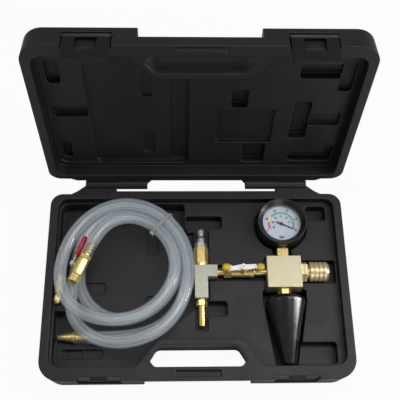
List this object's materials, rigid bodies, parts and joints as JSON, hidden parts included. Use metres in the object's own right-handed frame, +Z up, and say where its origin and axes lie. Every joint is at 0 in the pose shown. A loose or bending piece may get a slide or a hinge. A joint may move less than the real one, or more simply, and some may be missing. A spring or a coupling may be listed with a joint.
{
  "type": "radiator pressure tester",
  "caption": "Cooling-system vacuum and pressure tester with gauge, rubber cone, quick coupler, valves and clear filling hose, in an open hinged carrying case.",
  "frame": {"origin": "centre of the case base's underside", "axes": "+X to the right seen from the handle side, +Y from the handle to the hinges, +Z up"},
  "size_m": [0.369, 0.3126, 0.2976],
  "materials": {
    "case": "textured",
    "latch": "satin",
    "steel": "brushed",
    "block": "satin plated",
    "brass": "machined",
    "chrome": "polished",
    "rubber": "gloss",
    "boot": "satin",
    "dial": "matte",
    "pointer": "matte",
    "window": "clear",
    "hose": "clear",
    "tie": "satin",
    "red": "dipped vinyl",
    "yellow": "dipped vinyl",
    "seal": "matte",
    "seat": "smooth"
  },
  "bodies": {
    "base": {"case_base": "case", "hinge_pins": "steel"},
    "lid": {"case_lid": "case"},
    "left_latch": {"latch_left": "latch"},
    "right_latch": {"latch_right": "latch"},
    "tester": {"manifold_block": "block", "gauge_socket": "brass", "gauge_case": "steel", "gauge_boot": "boot", "gauge_dial": "dial", "gauge_window": "window", "gauge_movement": "brass", "bourdon_tube": "brass", "cone_nipple": "brass", "rubber_cone": "rubber", "coupler_body": "brass", "coupler_seal": "seal", "poppet_spring": "steel", "coupler_spring": "steel", "coupler_balls": "steel", "venturi_block": "block", "venturi_nozzle": "brass", "plug_adaptor": "brass", "quick_plug": "steel", "barb_fitting": "brass", "valve_nipple": "brass", "valve_body": "brass", "valve_seats": "seat"},
    "sector": {"sector_gear": "brass"},
    "needle": {"gauge_needle": "pointer"},
    "sleeve": {"coupler_sleeve": "brass"},
    "poppet": {"coupler_poppet": "brass"},
    "lever": {"valve_ball": "chrome", "valve_stem": "brass", "valve_lever": "chrome", "lever_caps": "yellow", "lever_nut": "chrome"},
    "hose": {"hose_coil": "hose", "hose_run": "hose", "hose_lead": "hose", "hose_tie": "tie", "hose_nozzle": "brass", "hose_valve_tail": "brass", "hose_valve_body": "brass", "hose_valve_seats": "seat", "spare_plug": "brass"},
    "hose_lever": {"hose_valve_ball": "chrome", "hose_valve_stem": "brass", "hose_valve_lever": "steel", "hose_lever_grip": "red", "hose_lever_nut": "steel"}
  },
  "joints": [
    {"name": "lid_hinge", "type": "hinge", "parent": "base", "child": "lid", "pos_m": [0, 0.12875, 0.048], "axis": [-1, 0, 0], "range_deg": [-98.3, 0]},
    {"name": "left_latch_hinge", "type": "hinge", "parent": "lid", "child": "left_latch", "pos_m": [-0.115, 0.17872, 0.29012], "axis": [-1, 0, 0], "range_deg": [0, 95]},
    {"name": "right_latch_hinge", "type": "hinge", "parent": "lid", "child": "right_latch", "pos_m": [0.115, 0.17872, 0.29012], "axis": [-1, 0, 0], "range_deg": [0, 95]},
    {"name": "tester_lift", "type": "slide", "parent": "base", "child": "tester", "axis": [0, 0, 1], "range_m": [0, 0.12]},
    {"name": "hose_lift", "type": "slide", "parent": "base", "child": "hose", "axis": [0, 0, 1], "range_m": [0, 0.12]},
    {"name": "valve_turn", "type": "hinge", "parent": "tester", "child": "lever", "pos_m": [0.056, 0.014, 0.036], "axis": [0, 0, 1], "range_deg": [0, 90]},
    {"name": "hose_valve_turn", "type": "hinge", "parent": "hose", "child": "hose_lever", "pos_m": [-0.14151, 0.01563, 0.056], "axis": [0.9271, -0.3747, 0], "range_deg": [0, 90]},
    {"name": "sleeve_slide", "type": "slide", "parent": "tester", "child": "sleeve", "axis": [-1, 0, 0], "range_m": [0, 0.003], "stiffness_N_per_m": 1500, "springref_m": -0.003, "deforming": ["coupler_spring"]},
    {"name": "poppet_slide", "type": "slide", "parent": "tester", "child": "poppet", "axis": [-1, 0, 0], "range_m": [0, 0.003], "stiffness_N_per_m": 600, "springref_m": -0.003, "deforming": ["poppet_spring"]},
    {"name": "sector_turn", "type": "hinge", "parent": "tester", "child": "sector", "pos_m": [0.107, 0.0612, 0.03], "axis": [0, 0, 1], "range_deg": [-17.3, 0], "stiffness_Nm_per_rad": 0.001},
    {"name": "needle_turn", "type": "hinge", "parent": "tester", "child": "needle", "pos_m": [0.107, 0.075, 0.03], "axis": [0, 0, 1], "range_deg": [0, 230]}
  ],
  "couplings": [
    {"joint": "needle_turn", "follows": "sector_turn", "ratio": -13.235}
  ]
}
